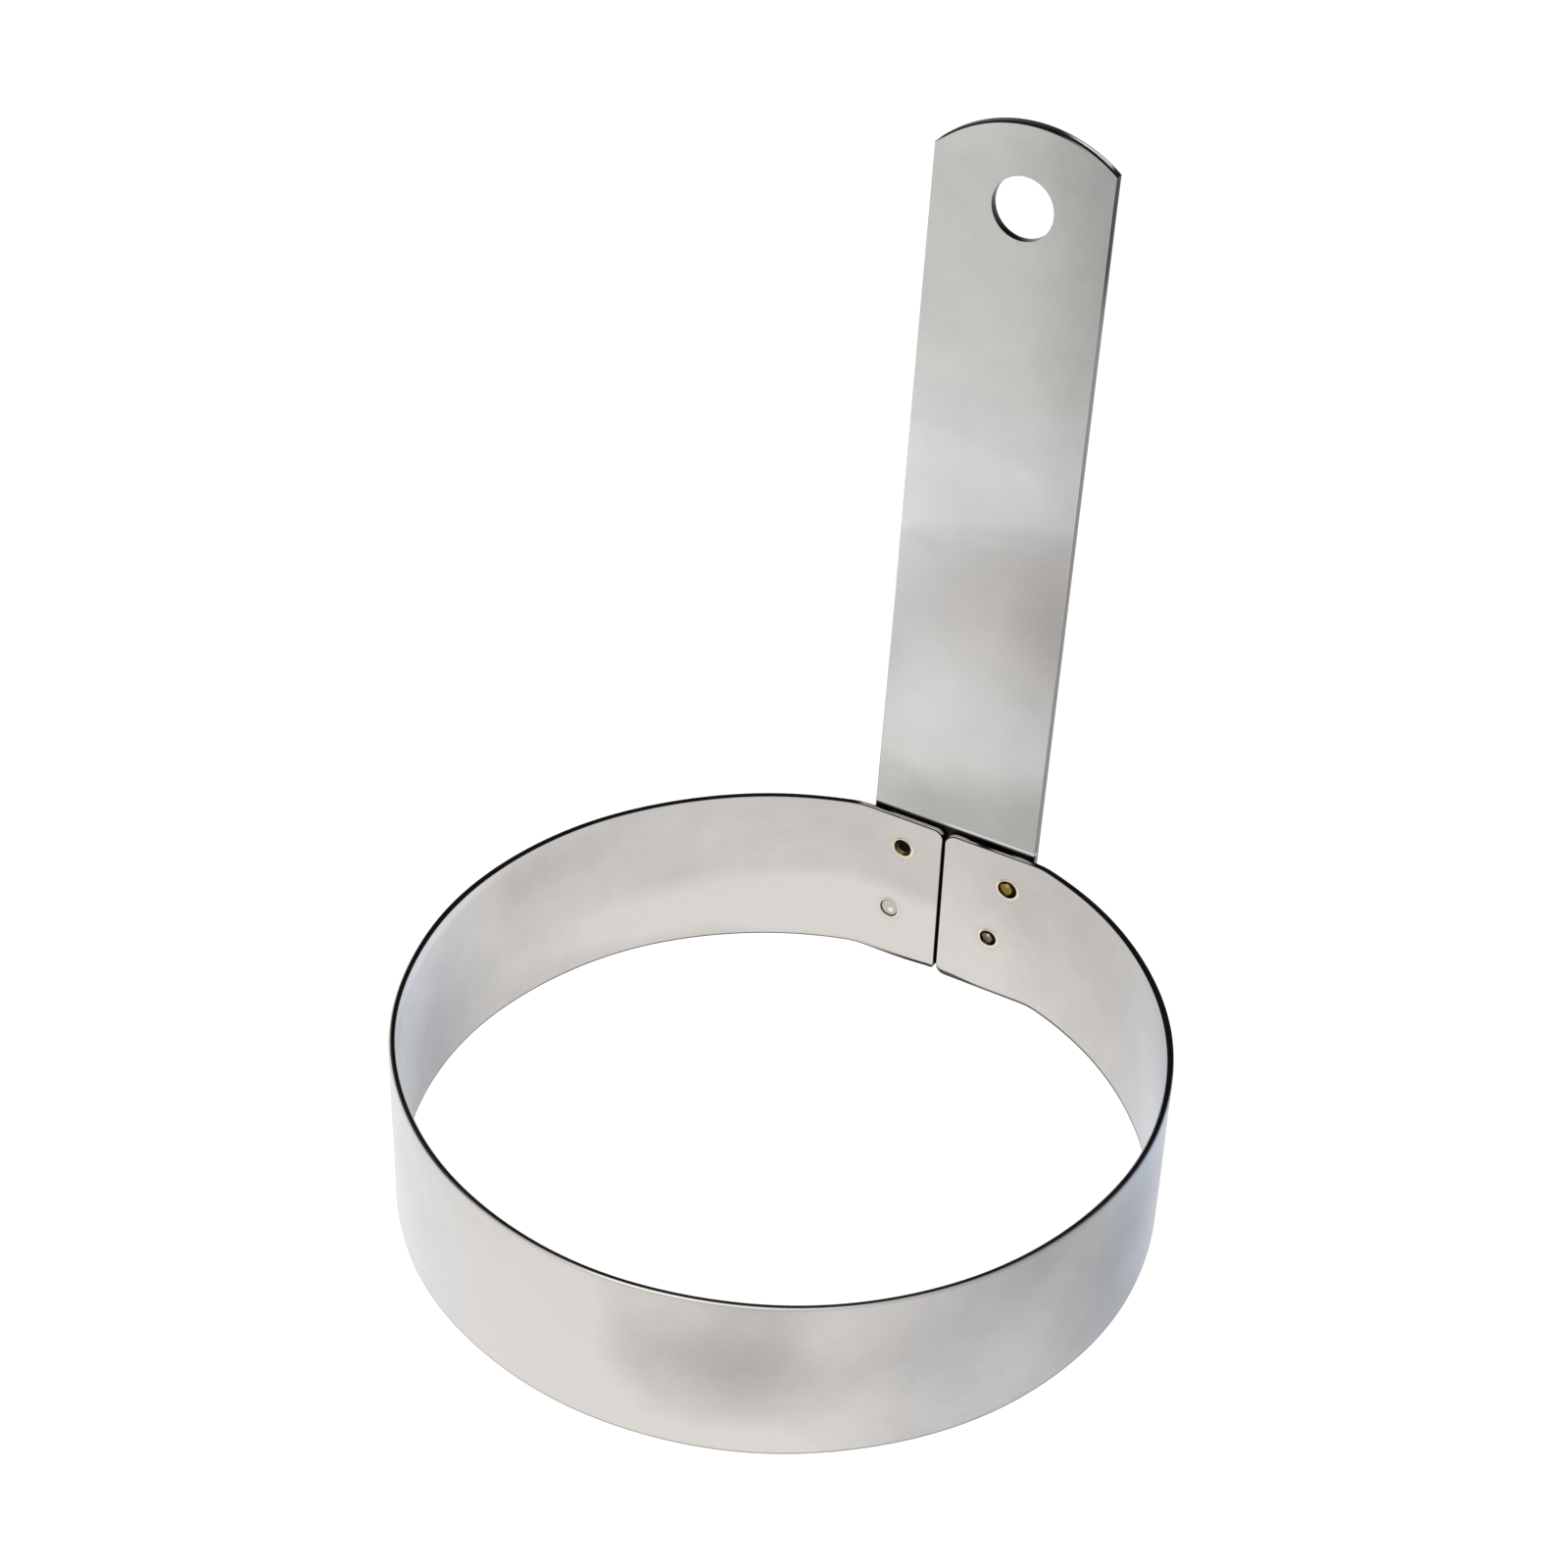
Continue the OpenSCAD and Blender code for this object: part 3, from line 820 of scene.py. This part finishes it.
def weld_finish(name, centre, look):
    """Heat-tinted weld metal with painted light and shade. The colours of the floor, the wall and the lip
    follow the distance from the middle of the print, broken up by fine pitting, and painted shade of its
    own colour lies in the print outside its unshaded circle. The glint is one small painted spot of
    another colour, a highlight or, on the upper left, black."""
    finish = Finish(bpy.data.materials.new(name))
    pits, stain = finish.body_noise(3000, 3.0, 0.6), finish.body_noise(900)
    reach = finish.mark("reach") + (stain - 0.5) * 0.2
    floor_edge = look["crest"] - look["wall"]

    def from_place(across, up):
        """Distance in metres from that place in the print, however deep."""
        return finish.distance((centre[0] + across, 0, centre[2] + up), (1, 0, 1))

    # Painted shade in the print outside a circle, and a painted glint
    unshaded_across, unshaded_up, unshaded_radius = look["unshaded"]
    from_unshaded = from_place(unshaded_across, unshaded_up) + (stain - 0.5) * (0.25 * MM)
    shaded_crescent = from_unshaded.step((unshaded_radius - 0.12) * MM, (unshaded_radius + 0.12) * MM)
    glint_across, glint_up, glint_radius = look["glint"]
    glint = from_place(glint_across, glint_up).step(glint_radius * MM, glint_radius * 0.4 * MM)

    on_wall = reach.step(floor_edge - 0.1, floor_edge + 0.1)
    colour = finish.blend(on_wall, look["floor"], look["side"])
    colour = finish.blend(shaded_crescent, colour, look["scale"])
    colour = finish.blend(pits.step(0.5, 0.8) * 0.12, colour, pit_brown)
    colour = finish.blend(glint, colour, look["bright"])
    colour = finish.blend(reach.step(look["crest"] - 0.1, look["crest"] + 0.03), colour, look["lip"])
    roughness = (pits - 0.5) * 0.2 + WELD_ROUGHNESS
    return finish.metal(colour, roughness, pits * 0.6 + stain * 0.5, WELD_BUMP)


for weld_name, look in weld_looks.items():
    weld_x, weld_z = weld_places[weld_name]
    weld_centre = (weld_x, SEAT_Y - STRIP_THICKNESS, weld_z)
    weld = turned("spot_weld_" + weld_name, *weld_profile(look), weld_centre, (0, 1, 0), 96,
                  uneven(look, weld_x))
    weld.data.materials.append(weld_finish("weld_" + weld_name, weld_centre, look))
    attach(weld, "root")
    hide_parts("weld_" + weld_name)


# Floor and light
# The ring stands on a plain white floor in a pale studio. The steel mirrors the floor, and the
# dark space high behind it turns the upward edges nearly black, as they are in the photograph.

FLOOR_HALF = 12.0
PAPER_GREY, PAPER_GLOW = 0.25, 0.965
floor_mesh = bpy.data.meshes.new("floor")
floor_corners = [(x * FLOOR_HALF, y * FLOOR_HALF, 0) for x, y in ((-1, -1), (1, -1), (1, 1), (-1, 1))]
floor_mesh.from_pydata(floor_corners, [], [(0, 1, 2, 3)])
floor = bpy.data.objects.new("floor", floor_mesh)
bpy.context.scene.collection.objects.link(floor)
paper = Finish(bpy.data.materials.new("white_paper"))
paper_shader = paper.node("ShaderNodeBsdfPrincipled", {}, {
    "Base Color": (PAPER_GREY, PAPER_GREY, PAPER_GREY, 1), "Roughness": 0.9,
    "Specular IOR Level": 0.0, "Emission Color": (1, 1, 1, 1), "Emission Strength": PAPER_GLOW})
paper.node("ShaderNodeOutputMaterial", {}, {"Surface": paper_shader})
floor_mesh.materials.append(paper.owner)

# The studio is pale low down all round, and pale all the way up on the camera's side
CAMERA_AZIMUTH = 0.484757
towards_camera = np.array([np.sin(CAMERA_AZIMUTH), -np.cos(CAMERA_AZIMUTH), 0])
world = bpy.data.worlds.new("studio")
bpy.context.scene.world = world
studio = Finish(world)
direction = studio.node("ShaderNodeTexCoord", output="Generated")
height = studio.node("ShaderNodeSeparateXYZ", {}, {0: direction}, "Z")
ahead = studio.vector("DOT_PRODUCT", direction, tuple(towards_camera), output="Value")
pale = height.step(0.42, 0.2).either(ahead.step(-0.3, 0.2) * 0.95)
sky = studio.node("ShaderNodeBackground", {}, {"Color": (1, 1, 1, 1), "Strength": pale * 0.99 + 0.01})
studio.node("ShaderNodeOutputWorld", {}, {"Surface": sky})


def aim(back, place):
    """Matrix of a lamp at place whose back points along back, kept upright."""
    right = np.cross([0, 0, 1.0], back)
    right /= np.linalg.norm(right)
    matrix = np.eye(4)
    matrix[:3, :3] = np.column_stack([right, np.cross(back, right), back])
    matrix[:3, 3] = place
    return matrix


# The key light is a large square one, 25 degrees left of the camera and 58 degrees up, which
# faces a point 40 mm above the middle of the ring from 1.2 m away
KEY_AZIMUTH, KEY_ELEVATION = CAMERA_AZIMUTH + np.radians(-25), np.radians(58)
KEY_DISTANCE, KEY_SIZE, KEY_POWER, KEY_COLOUR = 1.2, 0.9, 3.0, (1, 0.99, 0.97)
LIT_POINT = np.array([0, 0, 0.04])
key_back = np.array([np.sin(KEY_AZIMUTH) * np.cos(KEY_ELEVATION),
                     -np.cos(KEY_AZIMUTH) * np.cos(KEY_ELEVATION),
                     np.sin(KEY_ELEVATION)])
key_lamp = bpy.data.lights.new("key", "AREA")
key_lamp.size, key_lamp.energy, key_lamp.color = KEY_SIZE, KEY_POWER, KEY_COLOUR
key = bpy.data.objects.new("key", key_lamp)
bpy.context.scene.collection.objects.link(key)
key.matrix_world = Matrix(aim(key_back, KEY_DISTANCE * key_back + LIT_POINT).tolist())


# Camera
# The photograph's own camera, worked out from the outlines of the ring, the strap and the hole.
# It stands on the line of its azimuth and elevation, and is turned by its roll, pan and tilt.

CAMERA_ELEVATION, CAMERA_DISTANCE = 0.751982, 0.471788
CAMERA_ROLL, CAMERA_PAN, CAMERA_TILT = 0.043460, 0.002603, -0.111621
LENS, SENSOR = 78.80, 36.0


def turn(axis, angle):
    """Rotation matrix by the angle about axis 0, 1 or 2."""
    c, s = np.cos(angle), np.sin(angle)
    return np.array([[[1, 0, 0], [0, c, -s], [0, s, c]],
                     [[c, 0, s], [0, 1, 0], [-s, 0, c]],
                     [[c, -s, 0], [s, c, 0], [0, 0, 1]]][axis])


rise, run = np.sin(CAMERA_ELEVATION), np.cos(CAMERA_ELEVATION)
looking = turn(2, CAMERA_ROLL) @ turn(0, CAMERA_TILT) @ turn(1, CAMERA_PAN)
looking = looking @ np.array([[1, 0, 0], [0, -rise, -run], [0, run, -rise]]) @ turn(2, -CAMERA_AZIMUTH)
view = np.eye(4)
view[:3, :3] = np.column_stack([looking[0], -looking[1], -looking[2]])
view[:3, 3] = CAMERA_DISTANCE * (run * towards_camera + np.array([0, 0, rise]))
lens = bpy.data.cameras.new("camera")
lens.lens, lens.sensor_width = LENS, SENSOR
lens.clip_start, lens.clip_end = 0.01, 50
camera = bpy.data.objects.new("camera", lens)
bpy.context.scene.collection.objects.link(camera)
camera.matrix_world = Matrix(view.tolist())
bpy.context.scene.camera = camera
bpy.context.scene.view_settings.view_transform = "Standard"
bpy.context.scene.view_settings.look = "None"
